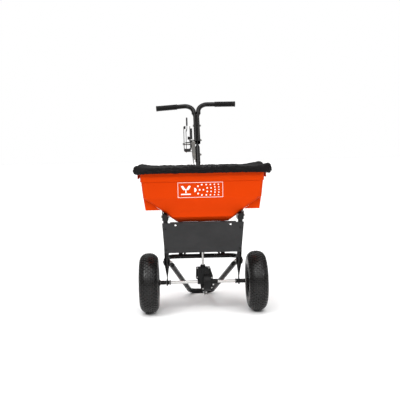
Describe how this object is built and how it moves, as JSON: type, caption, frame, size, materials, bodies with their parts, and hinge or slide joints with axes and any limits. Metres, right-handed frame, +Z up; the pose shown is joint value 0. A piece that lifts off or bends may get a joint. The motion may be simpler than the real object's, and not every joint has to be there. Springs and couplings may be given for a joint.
{
  "type": "broadcast spreader",
  "caption": "Walk-behind broadcast spreader with an orange hopper under a gathered cover, pneumatic wheels, geared impeller drive, rest stand and T-handle with flow lever.",
  "frame": {"origin": "on the ground, at the centre of the whole machine's footprint", "axes": "+Z up, -Y the way the machine is pushed, +X to the right as seen from the front; the axle is parallel to X, 0.332 m in front of the origin and 0.165 m up"},
  "size_m": [0.698, 1.1065, 1.2082],
  "materials": {
    "hopper_orange": "semi-gloss moulded orange polyethylene",
    "tube_black": "satin black powder coat",
    "shield_charcoal": "satin charcoal powder coat",
    "black_hardware": "black oxide",
    "zinc": "zinc plated",
    "bright_steel": "bright drawn bar",
    "gear_steel": "machined and greased",
    "gearbox_black": "glass-filled nylon, satin black",
    "nylon": "plain black nylon",
    "rim_black": "gloss black enamel",
    "tyre": "black tyre rubber with block tread",
    "valve_rubber": "rubber-covered stem",
    "grip_rubber": "moulded grip rubber",
    "knob_plastic": "moulded black plastic",
    "impeller_plastic": "moulded dark plastic",
    "gate_steel": "stainless sheet",
    "cover_fabric": "black woven nylon with an elastic hem"
  },
  "bodies": {
    "frame": {"hopper": "hopper_orange", "gate_guides": "zinc", "hopper_bushing": "nylon", "hopper_bracket_left": "tube_black", "hopper_bracket_right": "tube_black", "bracket_bolts": "zinc", "side_frame_left": "tube_black", "side_frame_right": "tube_black", "rear_loop": "tube_black", "rest_stand": "tube_black", "rear_struts": "tube_black", "front_shield": "shield_charcoal", "shield_bolts": "black_hardware", "frame_bolts": "zinc", "lower_handle_tube": "tube_black", "handle_tube_left": "tube_black", "handle_tube_right": "tube_black", "handle_grips": "grip_rubber", "handle_braces": "tube_black", "handle_bolts": "zinc", "control_channel": "tube_black", "control_angle": "zinc", "control_bolts": "zinc", "rate_stop": "tube_black", "gearbox_front_half": "gearbox_black", "gearbox_rear_half": "gearbox_black", "gearbox_screws": "zinc", "gearbox_bushings": "nylon", "axle_bearings": "nylon", "gearbox_strap": "zinc", "strap_bolts": "zinc"},
    "drive_axle": {"axle": "bright_steel", "bevel_gear": "gear_steel", "axle_collars": "tube_black", "axle_spacers": "tube_black", "axle_pins": "zinc", "end_washer": "zinc", "drive_wheel_inner_rim": "rim_black", "drive_wheel_outer_rim": "rim_black", "drive_wheel_tyre": "tyre", "drive_wheel_bolts": "zinc", "drive_wheel_valve": "valve_rubber"},
    "free_wheel": {"free_wheel_inner_rim": "rim_black", "free_wheel_outer_rim": "rim_black", "free_wheel_tyre": "tyre", "free_wheel_bolts": "zinc", "free_wheel_valve": "valve_rubber", "free_wheel_bushings": "nylon"},
    "impeller": {"impeller_shaft": "bright_steel", "bevel_pinion": "gear_steel", "impeller": "impeller_plastic", "agitator": "bright_steel", "shaft_pins": "zinc"},
    "lever": {"flow_lever": "tube_black", "lever_grip": "knob_plastic"},
    "gate": {"flow_gate": "gate_steel", "control_rod": "bright_steel", "rod_nuts": "zinc"},
    "cover": {"hopper_cover": "cover_fabric"},
    "stop_knob": {"stop_knob": "knob_plastic"}
  },
  "joints": [
    {"name": "axle_spin", "type": "hinge", "parent": "frame", "child": "drive_axle", "pos_m": [0, -0.3323, 0.165], "axis": [1, 0, 0], "continuous": true},
    {"name": "free_wheel_spin", "type": "hinge", "parent": "frame", "child": "free_wheel", "pos_m": [-0.296, -0.3323, 0.165], "axis": [1, 0, 0], "continuous": true},
    {"name": "impeller_spin", "type": "hinge", "parent": "frame", "child": "impeller", "pos_m": [0, -0.3323, 0.44], "axis": [0, 0, 1], "continuous": true},
    {"name": "lever_swing", "type": "hinge", "parent": "frame", "child": "lever", "pos_m": [-0.071, 0.31321, 0.92582], "axis": [-1, 0, 0], "range_deg": [0, 30]},
    {"name": "gate_slide", "type": "slide", "parent": "frame", "child": "gate", "axis": [0, -1, 0], "range_m": [0, 0.0259]},
    {"name": "cover_lift", "type": "slide", "parent": "frame", "child": "cover", "axis": [0, 0, 1], "range_m": [0, 0.3]},
    {"name": "stop_knob_turn", "type": "hinge", "parent": "frame", "child": "stop_knob", "pos_m": [-0.055, 0.34535, 0.96412], "axis": [1, 0, 0], "range_deg": [0, 540]}
  ],
  "couplings": [
    {"joint": "impeller_spin", "follows": "axle_spin", "ratio": -3},
    {"joint": "gate_slide", "follows": "lever_swing", "m_per_rad": 0.04943}
  ]
}
